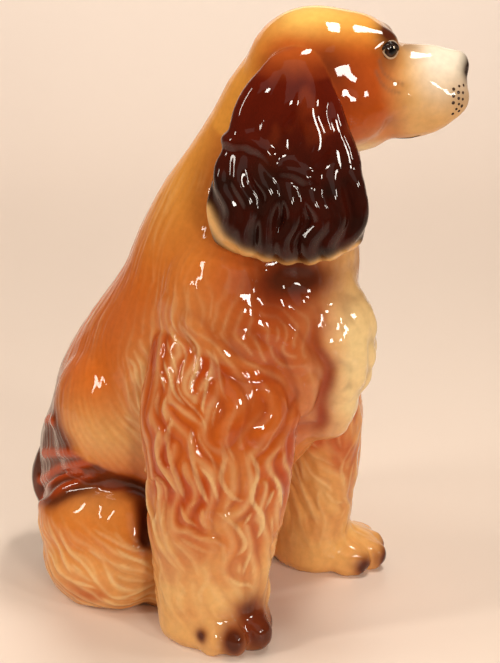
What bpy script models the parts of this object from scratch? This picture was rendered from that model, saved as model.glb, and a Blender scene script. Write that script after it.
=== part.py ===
"""A large glazed-earthenware figurine of a sitting spaniel, looking to its left.

It is built as a pottery builds it: hollow slip castings (torso, head, four legs), solid press-moulded
pieces (two ears and a tail), and a slab that closes the underside, all fitted face to face and joined
with slip. Every form is pressed together from lumps of clay, which are ellipsoids, and swept limbs.

Units are metres in Blender and millimetres in the tables below. +Z is up, the chest faces -Y, and the
origin is on the table, under the middle of the figure. The dog's left is +X.
"""

import math

import bmesh
import bpy
from mathutils import Matrix, Vector

MM = 0.001

# Driving dimensions, in millimetres and degrees.
WALL = 6.0  # thickness of a slip casting
JOINT_GAP = 0.3  # slip joint between two pieces
HEAD_TURN = 30.0  # the head looks this far to the dog's left of its chest
HEAD_CENTRE = (0.0, -90.0, 360.0)  # middle of the skull
TOE_OUT = 25.0  # the forepaws point this far outwards
FORELEG_TWIST = 30.0  # the feathering behind a foreleg points this far outwards
VENT_RADIUS = 5.0  # firing vents through the torso wall, one under each hollow leg
BASE_VENT_RADIUS = 11.0  # the vent through the base slab
VOXEL = 3.2  # grain of the clay when lumps are pressed together
SWEEP_STEP = 5.0  # spacing of the ellipsoids that make a swept limb

# Where the neck is cut between the head casting and the torso casting.
NECK_POINT = (0.0, -58.0, 318.0)
NECK_LEAN = 24.0  # the cut faces forwards by this angle

# The torso, from the table to the neck: height, middle in Y, half depth in Y, half width in X.
TORSO = [
    (-12, 46, 64, 52),
    (30, 42, 72, 56),
    (60, 36, 84, 60),
    (90, 26, 95, 64),
    (120, 8, 101, 68),
    (150, -8, 107, 70),
    (185, -24, 101, 68),
    (225, -36, 82, 61),
    (255, -39, 71, 54),
    (285, -46, 60, 46),
    (312, -58, 51, 41),
    (335, -68, 45, 38),
    (352, -76, 43, 37),
    (366, -83, 38, 35),
]

# Lumps are (middle x, y, z), (radii x, y, z). Those with a side are mirrored to the other one.
CHEST_LUMPS = [
    ((0, -109, 190), (29, 24, 44)),
    ((0, -101, 152), (25, 20, 28)),
    ((0, -96, 240), (34, 22, 40)),
]
SHOULDER_LUMPS = [
    ((37, -48, 206), (38, 47, 62)),
    ((38, 34, 122), (38, 50, 58)),
]

# The head, in its own frame: forwards, to its left, up, from the middle of the skull.
SKULL_LUMPS = [
    ((1, 0, 0), (44, 41, 42.5)),
    ((22, 0, 8), (28, 32, 31)),
    ((6, 0, -22), (34, 36, 30)),
]
CHEEK_LUMPS = [
    ((38, 14, 20), (12, 12, 12)),
    ((16, 22, -14), (30, 18, 26)),
    ((70, 9, -13), (23, 13, 16)),
]
# The muzzle from the stop to the nose: forwards, up, half width, half height.
MUZZLE = [
    (38, -9, 27, 27),
    (54, -9, 25, 28),
    (68, -8, 22, 26),
    (78, -6, 18.5, 21.5),
]
NOSE_LUMPS = [
    ((86, 0, 6), (8.5, 10.5, 9)),
    ((64, 0, 9), (24, 12, 9.5)),
    ((52, 0, -29), (28, 17, 10)),
    ((20, 0, -32), (28, 26, 16)),
]

# An ear in the head's frame, from its root down: forwards, outwards, up, half width, half thickness.
EAR = [
    (-16, 38, 9, 20, 7),
    (-18, 42, -8, 30, 9),
    (-17, 46, -30, 37, 11),
    (-17, 50, -52, 45, 12),
    (-18, 52, -74, 50, 13),
    (-17, 53, -91, 47, 13),
]
# How far an ear swings forwards and outwards for each millimetre that it hangs. The head's turn brings
# the left one out over the shoulder, and lets the right one lie in against the neck.
RIGHT_EAR_SWING = (0.0, -0.11)
LEFT_EAR_SWING = (0.07, 0.24)
EAR_LEAN = 4.0

# A foreleg from the paw to the shoulder: x, y, height, half depth along the feathering, half width.
FORELEG = [
    (66, -54, 8, 35, 26),
    (66, -54, 45, 38, 28),
    (65, -56, 80, 43, 30),
    (61, -57, 110, 46, 32),
    (57, -55, 140, 50, 33),
    (50, -53, 170, 50, 33),
    (43, -50, 197, 44, 28),
]
# The middles of the two forepaws; the right one is set a little further back.
RIGHT_PAW = (-63, -60, 13)
LEFT_PAW = (70, -74, 13)
PAW_RADII = (27, 31, 16)
# The toes, from the outer one: how far inwards across the paw, how far forwards, half width.
TOES = [
    (-20, 15, 7.5),
    (-8, 22, 8),
    (8, 23, 10.5),
    (20, 11, 8),
]

# A folded hind leg: the thigh's mass on the table, its upper swell, and the foot tucked in front of it.
HAUNCH_LUMPS = [
    ((50, 38, 30), (42, 47, 38)),
    ((48, 42, 52), (40, 49, 40)),
    ((56, 16, 50), (30, 34, 38)),
]
HIND_FOOT_LUMPS = [
    ((42, -4, 12), (17, 26, 15)),
    ((36, -27, 9), (6.5, 11, 9.5)),
    ((47, -28, 9), (6.5, 11, 9.5)),
]

# The docked tail, lying against the rump: x, y, height, half width, half thickness.
TAIL = [
    (0, 98, 100, 14, 13),
    (-2, 111, 77, 19, 14),
    (-4, 117, 54, 21, 14),
    (-6, 113, 34, 16, 10),
]

# Faces that each form keeps when its clay is thinned out.
BODY_FACES = 3500
CORE_FACES = 1000
LEG_FACES = 900
LEG_CORE_FACES = 260
EAR_FACES = 620
TAIL_FACES = 300

# Underglaze colours, as linear RGB.
AMBER = (0.62, 0.23, 0.07)
CREAM = (0.80, 0.52, 0.26)
BROWN = (0.10, 0.025, 0.012)
BISCUIT = (0.72, 0.64, 0.54)


def clear_scene():
    for obj in list(bpy.data.objects):
        bpy.data.objects.remove(obj, do_unlink=True)


def mirrored(lumps):
    """The lumps of one side, and the same on the other."""
    other = [((-x, y, z), radii) for (x, y, z), radii in lumps]
    return lumps + other


def placed(lumps, matrix):
    """Ellipsoids as (matrix, radii), from lumps that are given in a frame of their own."""
    return [(matrix @ Matrix.Translation(Vector(middle)), radii) for middle, radii in lumps]


def swept(stations, matrix=Matrix.Identity(4)):
    """A limb through its stations, each ((x, y, z), (rx, ry, rz)), as a close row of ellipsoids."""
    row = []
    count = len(stations)
    for i in range(count - 1):
        before, here, there, after = (stations[min(max(i + k, 0), count - 1)] for k in (-1, 0, 1, 2))
        length = (Vector(there[0]) - Vector(here[0])).length
        steps = max(1, round(length / SWEEP_STEP))
        for step in range(steps + (i == count - 2)):
            t = step / steps
            values = [
                [spline(a, b, c, d, t) for a, b, c, d in zip(before[k], here[k], there[k], after[k])]
                for k in (0, 1)
            ]
            row.append((matrix @ Matrix.Translation(Vector(values[0])), values[1]))
    return row


def spline(a, b, c, d, t):
    """Catmull-Rom between b and c."""
    return b + 0.5 * t * (c - a + t * (2 * a - 5 * b + 4 * c - d + t * (3 * (b - c) + d - a)))


def turned(row, degrees):
    """Each ellipsoid of a row turned about its own upright axis."""
    turn = Matrix.Rotation(math.radians(degrees), 4, "Z")
    return [(matrix @ turn, radii) for matrix, radii in row]


def new_object(name, bm):
    mesh = bpy.data.meshes.new(name)
    bm.to_mesh(mesh)
    bm.free()
    obj = bpy.data.objects.new(name, mesh)
    bpy.context.scene.collection.objects.link(obj)
    return obj


def applied(obj):
    """Makes what the modifiers give the object's own mesh."""
    bpy.context.view_layer.update()
    graph = bpy.context.evaluated_depsgraph_get()
    mesh = bpy.data.meshes.new_from_object(obj.evaluated_get(graph))
    obj.modifiers.clear()
    obj.data = mesh
    return obj


def keep_largest(obj):
    """Drops every island of the mesh but the one with the most vertices."""
    bm = bmesh.new()
    bm.from_mesh(obj.data)
    unseen = set(bm.verts)
    islands = []
    while unseen:
        island = {unseen.pop()}
        front = list(island)
        while front:
            found = {e.other_vert(v) for v in front for e in v.link_edges} & unseen
            unseen -= found
            island |= found
            front = list(found)
        islands.append(island)
    largest = max(islands, key=len)
    stray = [v for v in bm.verts if v not in largest]
    bmesh.ops.delete(bm, geom=stray, context="VERTS")
    bm.to_mesh(obj.data)
    bm.free()
    return obj


def pressed(name, ellipsoids, faces, shrink=0.0, smooth=8):
    """Ellipsoids pressed into one closed form. shrink takes that much off every radius, for a core."""
    bm = bmesh.new()
    for matrix, radii in ellipsoids:
        if min(radii) <= shrink + 2:
            continue
        scale = Matrix.Diagonal([*(r - shrink for r in radii), 1])
        bmesh.ops.create_icosphere(
            bm, subdivisions=3, radius=1, matrix=Matrix.Scale(MM, 4) @ matrix @ scale
        )
    obj = new_object(name, bm)
    remesh = obj.modifiers.new("clay", "REMESH")
    remesh.mode = "VOXEL"
    remesh.voxel_size = VOXEL * MM
    soften = obj.modifiers.new("soften", "SMOOTH")
    soften.factor = 0.5
    soften.iterations = smooth
    applied(obj)
    keep_largest(obj)
    thin = obj.modifiers.new("thin", "DECIMATE")
    thin.ratio = min(1.0, faces / (2 * len(obj.data.polygons)))
    return applied(obj)


def combine(obj, other, operation):
    boolean = obj.modifiers.new("cut", "BOOLEAN")
    boolean.object = other
    boolean.operation = operation
    return applied(obj)


def copy_of(obj, name):
    copy = bpy.data.objects.new(name, obj.data.copy())
    bpy.context.scene.collection.objects.link(copy)
    return copy


def grown(obj, by):
    """A copy that is larger all over by this many millimetres, to leave a joint's gap."""
    copy = copy_of(obj, obj.name + "_grown")
    displace = copy.modifiers.new("grow", "DISPLACE")
    displace.mid_level = 0
    displace.strength = by * MM
    return applied(copy)


def block(low, high, matrix=Matrix.Identity(4)):
    """A box between two corners in millimetres."""
    low, high = Vector(low), Vector(high)
    bm = bmesh.new()
    scale = Matrix.Diagonal([*(high - low), 1])
    place = Matrix.Scale(MM, 4) @ matrix @ Matrix.Translation((low + high) / 2) @ scale
    bmesh.ops.create_cube(bm, size=1, matrix=place)
    return new_object("block", bm)


def rod(start, direction, radius, length):
    """A cylinder in millimetres that starts at a point and runs along a direction."""
    axis = Vector(direction).normalized()
    turn = axis.to_track_quat("Z", "Y").to_matrix().to_4x4()
    middle = Vector(start) + axis * (length / 2)
    bm = bmesh.new()
    bmesh.ops.create_cone(
        bm,
        cap_ends=True,
        segments=24,
        radius1=radius,
        radius2=radius,
        depth=length,
        matrix=Matrix.Scale(MM, 4) @ Matrix.Translation(middle) @ turn,
    )
    return new_object("rod", bm)


def remove(*objects):
    for obj in objects:
        bpy.data.objects.remove(obj, do_unlink=True)


def cut_by(obj, cutter, keep_cutter=False):
    combine(obj, cutter, "DIFFERENCE")
    if not keep_cutter:
        remove(cutter)
    return obj


def flat_footed(obj):
    """Cuts away what lies under the table's surface."""
    return cut_by(obj, block((-300, -300, -100), (300, 300, 0)))


def head_matrix():
    """From the head's frame (forwards, to its left, up) to the dog's."""
    return Matrix.Translation(Vector(HEAD_CENTRE)) @ Matrix.Rotation(
        math.radians(HEAD_TURN - 90), 4, "Z"
    )


def neck_matrix():
    return Matrix.Translation(Vector(NECK_POINT)) @ Matrix.Rotation(
        math.radians(NECK_LEAN), 4, "X"
    )


def body_form():
    """The torso, neck and head as one row of ellipsoids, before the neck is cut."""
    stations = [((0, y, z), (wide, deep, 14)) for z, y, deep, wide in TORSO]
    muzzle = [((s, 0, z), (14, wide, high)) for s, z, wide, high in MUZZLE]
    head = head_matrix()
    return (
        swept(stations)
        + placed(CHEST_LUMPS + mirrored(SHOULDER_LUMPS), Matrix.Identity(4))
        + placed(SKULL_LUMPS + NOSE_LUMPS + sideways(CHEEK_LUMPS), head)
        + swept(muzzle, head)
    )


def sideways(lumps):
    """The head's lumps of one side and the same on the other; its sides are along its own Y."""
    return lumps + [((s, -t, z), radii) for (s, t, z), radii in lumps]


def make_body():
    """The solid body, which the limbs are fitted to, and its core, which runs out at the underside."""
    solid = flat_footed(pressed("body_solid", body_form(), BODY_FACES))
    core = pressed("body_core", body_form(), CORE_FACES, shrink=WALL)
    return solid, core


def split_at_neck(solid, core):
    """The torso and head castings, both hollow and open where they meet at the neck."""
    cut_by(solid, core, keep_cutter=True)
    neck = neck_matrix()
    half = JOINT_GAP / 2
    torso = copy_of(solid, "torso_shell")
    cut_by(torso, block((-200, -200, -half), (200, 200, 200), neck))
    head = copy_of(solid, "head_shell")
    cut_by(head, block((-200, -200, -400), (200, 200, half), neck))
    return keep_largest(torso), keep_largest(head)


def side_matrix(side):
    return Matrix.Diagonal((side, 1, 1, 1))


def foreleg_form(side):
    """One foreleg with its paw and toes; side is 1 for the dog's left and -1 for its right."""
    stations = [((side * x, y, z), (wide, deep, 14)) for x, y, z, deep, wide in FORELEG]
    column = turned(swept(stations), -side * FORELEG_TWIST)
    middle = LEFT_PAW if side > 0 else RIGHT_PAW
    paw_frame = Matrix.Translation(middle) @ Matrix.Rotation(
        math.radians(side * TOE_OUT), 4, "Z"
    )
    toes = [((-side * inwards, -reach, -3), (wide, 14, 12.5)) for inwards, reach, wide in TOES]
    return column + placed([((0, 0, 0), PAW_RADII)] + toes, paw_frame)


def hind_leg_form(side):
    lumps = HAUNCH_LUMPS + HIND_FOOT_LUMPS
    return placed([((side * x, y, z), radii) for (x, y, z), radii in lumps], Matrix.Identity(4))


def hollow_leg(name, form, fitted_to):
    """A hollow casting, open where it is fitted to the pieces it joins."""
    leg = flat_footed(pressed(name, form, LEG_FACES, smooth=5))
    solid = copy_of(leg, name + "_solid")
    core = pressed("leg_core", form, LEG_CORE_FACES, shrink=WALL)
    cut_by(core, block((-300, -300, -100), (300, 300, WALL)))
    cut_by(leg, core)
    for other in fitted_to:
        cut_by(leg, grown(other, JOINT_GAP))
    return keep_largest(leg), solid


def ear_form(side):
    swing = LEFT_EAR_SWING if side > 0 else RIGHT_EAR_SWING
    stations = []
    for forward, outward, z, wide, thick in EAR:
        drop = max(0.0, -z)
        middle = (forward + swing[0] * drop, side * (outward + swing[1] * drop), z)
        stations.append((middle, (wide, thick, 15)))
    return turned(swept(stations, head_matrix()), side * EAR_LEAN)


def make_ear(name, side, fitted_to):
    ear = pressed(name, ear_form(side), EAR_FACES, smooth=4)
    for other in fitted_to:
        cut_by(ear, grown(other, JOINT_GAP))
    return keep_largest(ear)


def make_tail(fitted_to):
    stations = [((x, y, z), (wide, thick, 12)) for x, y, z, wide, thick in TAIL]
    tail = flat_footed(pressed("tail", swept(stations), TAIL_FACES, smooth=4))
    for other in fitted_to:
        cut_by(tail, grown(other, JOINT_GAP))
    return keep_largest(tail)


def make_base_slab(core):
    """The slab that closes the torso's open underside, with the firing vent through it."""
    slab = grown(core, -JOINT_GAP)
    slab.name = "base_slab"
    flat_footed(slab)
    cut_by(slab, block((-300, -300, WALL), (300, 300, 500)))
    cut_by(slab, rod((0, 46, -5), (0, 0, 1), BASE_VENT_RADIUS, 20))
    return keep_largest(slab)


def vent(torso, start, direction):
    """A firing vent through the torso's wall, into a hollow leg."""
    return cut_by(torso, rod(start, direction, VENT_RADIUS, 60))


def paint(obj, name, colour, roughness=0.12):
    material = bpy.data.materials.get(name) or bpy.data.materials.new(name)
    material.use_nodes = True
    shader = material.node_tree.nodes["Principled BSDF"]
    shader.inputs["Base Color"].default_value = (*colour, 1)
    shader.inputs["Roughness"].default_value = roughness
    shader.inputs["Metallic"].default_value = 0
    obj.data.materials.clear()
    obj.data.materials.append(material)
    obj.data.shade_smooth()
    obj.data.set_sharp_from_angle(angle=math.radians(50))


def main():
    clear_scene()
    solid, core = make_body()
    body = copy_of(solid, "body_outer")
    torso, head = split_at_neck(solid, core)

    legs = []
    forelegs = {}
    for side, word in ((-1, "right"), (1, "left")):
        leg, forelegs[side] = hollow_leg(f"{word}_foreleg", foreleg_form(side), [body])
        legs.append(leg)
    hind_solids = []
    for side, word in ((-1, "right"), (1, "left")):
        leg, whole = hollow_leg(
            f"{word}_hind_leg", hind_leg_form(side), [body, forelegs[side]]
        )
        legs.append(leg)
        hind_solids.append(whole)

    ears = [
        make_ear("right_ear", -1, [body, forelegs[-1]]),
        make_ear("left_ear", 1, [body, forelegs[1]]),
    ]
    tail = make_tail([body, *hind_solids])
    slab = make_base_slab(core)

    for side in (-1, 1):
        vent(torso, (side * 20, -45, 110), (side, 0, 0))
        vent(torso, (side * 20, 45, 45), (side, 0, 0))

    remove(solid, core, body, *forelegs.values(), *hind_solids)
    paint(torso, "amber_glaze", AMBER)
    paint(head, "amber_glaze", AMBER)
    for leg in legs:
        paint(leg, "cream_glaze", CREAM)
    for ear in ears:
        paint(ear, "brown_glaze", BROWN)
    paint(tail, "brown_glaze", BROWN)
    paint(slab, "biscuit", BISCUIT, roughness=0.8)


main()
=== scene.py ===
"""The look of a large glazed ceramic spaniel: modelled fur, airbrushed colours, a thick gloss glaze.

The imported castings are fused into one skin, the fur and the face are modelled into that skin, and it is cut
back into one piece for each casting. Lengths in the tables are millimetres, as in the castings.
"""

import math

import bmesh
import bpy
import numpy as np
from mathutils import Matrix, Vector
from mathutils.bvhtree import BVHTree
from mathutils.kdtree import KDTree


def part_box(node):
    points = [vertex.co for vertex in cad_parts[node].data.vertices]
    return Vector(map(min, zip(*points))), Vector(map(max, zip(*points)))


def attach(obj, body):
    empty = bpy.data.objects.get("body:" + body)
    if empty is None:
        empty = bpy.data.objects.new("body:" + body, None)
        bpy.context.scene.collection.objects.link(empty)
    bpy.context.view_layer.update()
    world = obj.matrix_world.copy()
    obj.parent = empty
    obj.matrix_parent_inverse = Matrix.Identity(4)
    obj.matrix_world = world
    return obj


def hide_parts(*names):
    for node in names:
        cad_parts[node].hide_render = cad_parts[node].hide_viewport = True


MM = 0.001
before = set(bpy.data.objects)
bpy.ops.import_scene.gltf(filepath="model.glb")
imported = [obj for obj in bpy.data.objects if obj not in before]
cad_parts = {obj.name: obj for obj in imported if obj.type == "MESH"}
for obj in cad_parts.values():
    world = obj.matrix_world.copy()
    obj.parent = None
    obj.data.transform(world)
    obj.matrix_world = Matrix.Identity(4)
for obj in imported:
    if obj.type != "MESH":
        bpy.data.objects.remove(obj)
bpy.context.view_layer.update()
RNG = np.random.default_rng(7)

VOXEL = 1.35  # spacing of the skin's points
SEAL = 0.32  # the castings grow by this much, so that their joints close
VENT_COVER = 14.0  # radius of the disc that stops the base's vent while the skin is made
SHRINK, GROW = 0.5, -0.53  # the two steps of a round of smoothing
SOLE_SLOPE, SOLE_DEPTH = 0.02, 2.0  # of what is pressed flat under the feet
FAN_WIDTH = 4.0  # of a lock on the rump
BARE = "base_slab"  # stays as it is: unglazed, with its vent
HEAD_CENTRE = np.array([0.0, -90.0, 360.0])
HEAD_FORWARD = np.array([0.5, -0.8660254, 0.0])
HEAD_LEFT = np.array([0.8660254, 0.5, 0.0])
UP = np.array([0.0, 0.0, 1.0])


# --- small helpers on arrays of points ---


def unit(v):
    return v / np.maximum(np.linalg.norm(v, axis=-1, keepdims=True), 1e-9)


def smoothstep(low, high, x):
    t = np.clip((x - low) / (high - low), 0.0, 1.0)
    return t * t * (3.0 - 2.0 * t)


def near(p, middle, radii):
    """A soft ball of influence: 1 at the middle, about 0.37 at the radii."""
    d = (p - np.asarray(middle, float)) / np.asarray(radii, float)
    return np.exp(-np.sum(d * d, axis=1))


def ridge(distance, width):
    """1 on a line, about 0.37 at the width beside it."""
    return np.exp(-((distance / width) ** 2))


def head_frame(p):
    """Points in the head's own frame: forwards, to its left, up."""
    q = p - HEAD_CENTRE
    return np.stack([q @ HEAD_FORWARD, q @ HEAD_LEFT, q[:, 2]], axis=1)


def head_fold(p):
    """The same, folded onto the head's left side."""
    h = head_frame(p)
    return np.stack([h[:, 0], np.abs(h[:, 1]), h[:, 2]], axis=1)


def both_sides(p):
    """Points folded onto the dog's left side, for what is the same on both."""
    return np.stack([np.abs(p[:, 0]), p[:, 1], p[:, 2]], axis=1)


def hash_cells(p, size):
    cell = np.floor(p / size).astype(np.int64) + 4096
    return (cell[:, 0] << 40) + (cell[:, 1] << 20) + cell[:, 2]


def close_pairs(a, b, radius):
    """Every (index in a, index in b) closer than the radius, found on a grid of cells."""
    key_b = hash_cells(b, radius)
    order = np.argsort(key_b, kind="stable")
    key_b = key_b[order]
    found_a, found_b = [], []
    for step in np.ndindex(3, 3, 3):
        key_a = hash_cells(a + (np.array(step) - 1) * radius, radius)
        first = np.searchsorted(key_b, key_a, "left")
        count = np.searchsorted(key_b, key_a, "right") - first
        ia = np.repeat(np.arange(len(a)), count)
        start = np.repeat(first - np.concatenate([[0], np.cumsum(count)[:-1]]), count)
        ib = order[start + np.arange(len(ia))]
        keep = np.sum((a[ia] - b[ib]) ** 2, axis=1) < radius * radius
        found_a.append(ia[keep])
        found_b.append(ib[keep])
    return np.concatenate(found_a), np.concatenate(found_b)


def spread(weights, index, size):
    """Sums the weights that share an index."""
    if weights.ndim == 1:
        return np.bincount(index, weights, size)
    return np.stack([np.bincount(index, w, size) for w in weights.T], axis=1)


def lattice_noise(p, size, seed):
    """Smooth value noise between -1 and 1 at a scale in millimetres."""
    q = p / size
    base = np.floor(q).astype(np.int64)
    f = q - base
    f = f * f * (3 - 2 * f)
    total = np.zeros(len(p))
    for corner in np.ndindex(2, 2, 2):
        c = base + np.array(corner)
        h = (c[:, 0] * 73856093) ^ (c[:, 1] * 19349663) ^ (c[:, 2] * 83492791) ^ (seed * 2654435761)
        h = (h ^ (h >> 13)) * 1274126177 & 0xFFFFFFFF
        h = ((h ^ (h >> 16)) & 0xFFFF) / 32767.5 - 1.0
        w = np.prod([f[:, k] if corner[k] else 1 - f[:, k] for k in range(3)], axis=0)
        total += w * h
    return total


def clouds(p, coarse, fine, seed):
    """Cloudy noise of two scales."""
    return 0.6 * lattice_noise(p, coarse, seed) + 0.4 * lattice_noise(p, fine, seed + 1)


def pair(masks, name):
    """The mask of a casting and of its fellow on the other side."""
    return masks["left_" + name] + masks["right_" + name]


# --- the skin ---


def link_object(name, data, place=(0, 0, 0)):
    obj = bpy.data.objects.new(name, data)
    bpy.context.scene.collection.objects.link(obj)
    obj.location = place
    return obj


def fused_castings():
    """All the castings as one closed mesh, without their hollow insides."""
    joined = bmesh.new()
    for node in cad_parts.values():
        bm = bmesh.new()
        bm.from_mesh(node.data)
        bmesh.ops.remove_doubles(bm, verts=bm.verts, dist=1e-6)
        bm.normal_update()
        for v in bm.verts:
            v.co += v.normal * SEAL * MM
        mesh = bpy.data.meshes.new("casting")
        bm.to_mesh(mesh)
        bm.free()
        joined.from_mesh(mesh)
        bpy.data.meshes.remove(mesh)
    low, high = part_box("base_slab")
    disc = {"segments": 24, "radius1": VENT_COVER * MM, "radius2": VENT_COVER * MM, "cap_ends": True}
    middle = Matrix.Translation((low + high) / 2)
    bmesh.ops.create_cone(joined, depth=high.z - low.z, matrix=middle, **disc)
    mesh = bpy.data.meshes.new("skin")
    joined.to_mesh(mesh)
    joined.free()
    skin = link_object("skin", mesh)
    remesh = skin.modifiers.new("clay", "REMESH")
    remesh.mode = "VOXEL"
    remesh.voxel_size = VOXEL * MM
    bpy.context.view_layer.update()
    graph = bpy.context.evaluated_depsgraph_get()
    made = bpy.data.meshes.new_from_object(skin.evaluated_get(graph))
    bpy.data.objects.remove(skin)
    return made


class Skin:
    """The fused mesh as arrays: points in millimetres, their normals, quads and edges."""

    def __init__(self, mesh):
        count = len(mesh.vertices)
        self.p = np.empty(count * 3)
        mesh.vertices.foreach_get("co", self.p)
        self.p = self.p.reshape(-1, 3) * 1000.0
        loops = np.empty(len(mesh.loops), np.int32)
        mesh.loops.foreach_get("vertex_index", loops)
        self.quads = loops.reshape(-1, 4)  # a voxel remesh makes nothing but quads
        self.keep_largest_island()
        e = np.concatenate([self.quads[:, [k, (k + 1) % 4]] for k in range(4)])
        e.sort(axis=1)
        self.edges = np.unique(e, axis=0)
        self.degree = np.bincount(self.edges.ravel(), minlength=len(self.p)).astype(float)
        self.update_normals()

    def keep_largest_island(self):
        """Drops the insides of the hollow castings, which are islands of their own."""
        label = np.arange(len(self.p))
        while True:
            low = label[self.quads].min(axis=1)
            new = label.copy()
            for k in range(4):
                np.minimum.at(new, self.quads[:, k], low)
            new = new[new]
            if (new == label).all():
                break
            label = new
        names, counts = np.unique(label, return_counts=True)
        keep = label == names[counts.argmax()]
        self.p = self.p[keep]
        new_index = np.cumsum(keep) - 1
        self.quads = new_index[self.quads[keep[self.quads[:, 0]]]]

    def update_normals(self):
        q = self.p[self.quads]
        face = np.cross(q[:, 2] - q[:, 0], q[:, 3] - q[:, 1])
        total = np.zeros_like(self.p)
        for k in range(4):
            total += spread(face, self.quads[:, k], len(self.p))
        self.n = unit(total)

    def average(self, values):
        """Each point's mean over its neighbours."""
        a, b = self.edges.T
        size = len(self.p)
        total = spread(values[b], a, size) + spread(values[a], b, size)
        return total / (self.degree if values.ndim == 1 else self.degree[:, None])

    def smooth(self, rounds):
        """Taubin smoothing: it takes out facets and keeps the volume."""
        for _ in range(rounds):
            for step in (SHRINK, GROW):
                self.p = self.p + step * (self.average(self.p) - self.p)
        self.update_normals()

    def relax(self, weight, rounds):
        """Rounds off and softens the shape where the weight says."""
        w = 0.5 * weight[:, None]
        for _ in range(rounds):
            self.p = self.p + w * (self.average(self.p) - self.p)
        self.update_normals()

    def blurred(self, values, rounds):
        for _ in range(rounds):
            values = 0.5 * values + 0.5 * self.average(values)
        return values

    def push(self, height):
        """Moves each point along its normal."""
        self.p = self.p + self.n * height[:, None]
        self.update_normals()

    def tree(self):
        return BVHTree.FromPolygons(self.p.tolist(), self.quads.tolist())


def nearest_casting(skin):
    """The castings' names, and the index of the one under each point of the skin."""
    names = sorted(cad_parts)
    points, polygons, owner = [], [], []
    for index, name in enumerate(names):
        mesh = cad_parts[name].data
        first = len(points)
        points += [v.co * 1000.0 for v in mesh.vertices]
        for polygon in mesh.polygons:
            polygons.append([first + v for v in polygon.vertices])
            owner.append(index)
    tree = BVHTree.FromPolygons(points, polygons)
    label = np.array([owner[tree.find_nearest(Vector(p))[2]] for p in skin.p])
    return names, label


# --- modelling tools ---


def curve_through(points, step=1.5):
    """A smooth polyline through the points."""
    points = np.asarray(points, float)
    padded = np.vstack([2 * points[0] - points[1], points, 2 * points[-1] - points[-2]])
    pieces = []
    for k in range(1, len(padded) - 2):
        a, b, c, d = padded[k - 1 : k + 3]
        count = max(2, int(np.linalg.norm(c - b) / step))
        t = np.linspace(0, 1, count, endpoint=False)[:, None]
        bend = 2 * a - 5 * b + 4 * c - d + t * (3 * (b - c) + d - a)
        pieces.append(b + 0.5 * t * (c - a + t * bend))
    return np.vstack([*pieces, points[-1:]])


def land(tree, origin, direction):
    """Where a ray first meets the skin."""
    hit = tree.ray_cast(Vector(origin), Vector(direction))[0]
    return None if hit is None else np.array(hit)


def on_head(tree, side, forward, up):
    """The point on the side of the head at this place in its profile."""
    origin = HEAD_CENTRE + HEAD_FORWARD * forward + UP * up + HEAD_LEFT * side * 150
    return land(tree, origin, -side * HEAD_LEFT)


def around(tree, axis, degrees, height):
    """The point at this height, and this far round an upright axis from the front to the dog's right."""
    a = math.radians(degrees)
    way = np.array([-math.sin(a), -math.cos(a), 0.0])
    return land(tree, np.array([axis[0], axis[1], height]) + 200 * way, -way)


def from_side(tree, side, back, height):
    """The point seen straight from the dog's left (1) or right (-1)."""
    return land(tree, (side * 200, back, height), (-side, 0, 0))


# --- the fur ---

# Which way the coat lies: a point on the dog's left side, and the direction there. The right mirrors it.
COAT = [
    ((0, -60, 402), (0, 1, 0)),
    ((6, -20, 335), (0, 0.5, -0.87)),
    ((40, -60, 300), (0.1, 0.3, -0.95)),
    ((52, -30, 262), (0.1, 0.4, -0.9)),
    ((0, 22, 262), (0, 0.6, -0.8)),
    ((30, 58, 195), (0, 0.4, -0.9)),
    ((20, 95, 145), (0, 0.15, -0.98)),
    ((62, 5, 215), (0, 0.1, -1.0)),
    ((70, 0, 180), (0, -0.25, -0.97)),
    ((66, 35, 150), (0, -0.3, -0.95)),
    ((70, 45, 125), (0.1, -0.6, -0.78)),
    ((72, 15, 112), (0, -0.9, -0.4)),
    ((74, -20, 150), (0, -0.5, -0.87)),
    ((55, 88, 105), (0.2, -0.6, -0.75)),
    ((74, -45, 215), (0.1, -0.35, -0.93)),
    ((74, -60, 190), (0.1, -0.5, -0.86)),
    ((50, -90, 205), (-0.3, -0.3, -0.9)),
    ((0, -130, 190), (0, 0, -1)),
    ((20, -125, 160), (-0.3, 0, -0.95)),
    ((95, -50, 110), (0, -0.15, -1)),
    ((60, -95, 110), (0, 0, -1)),
    ((40, -50, 60), (0, 0, -1)),
    ((95, -45, 40), (0, -0.2, -1)),
    ((60, 40, 92), (0.7, 0.1, -0.7)),
    ((62, 90, 50), (0.2, -0.35, -0.9)),
    ((84, 68, 36), (0, -0.6, -0.8)),
    ((88, 45, 55), (0, -0.8, -0.6)),
    ((90, 40, 25), (0, -0.93, -0.35)),
    ((86, 0, 50), (0, -0.9, -0.45)),
    ((85, 0, 20), (0, -1.0, -0.1)),
    ((0, 122, 90), (0, 0.1, -1)),
    ((25, 112, 110), (0.5, 0, -0.86)),
]
COAT_REACH = 24.0
GRAIN_REACH = 6.5  # size of one patch of parallel strands
GRAIN_SPACING = 4.0
GRAIN_ROUNDS = 60  # of bringing the patches into step with their neighbours
STEP = 1.5  # along a stroke of the comb
TOUCH = 2.2  # a stroke ends this near another
KEEP_OFF = 0.62  # of the gap between strokes: none starts nearer than this to another
FADE = 8  # steps over which a stroke's ends fade
LIFTED = 3.0  # a stroke ends where it comes this far off the skin
THIN, EDGE_OF_ZONE = 0.2, 0.15  # weights of a zone where strokes no longer start, and where they end
FEWEST = 5  # steps in a stroke
LEG_STROKE = 1.25  # strength of a ridge drawn on a leg


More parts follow.
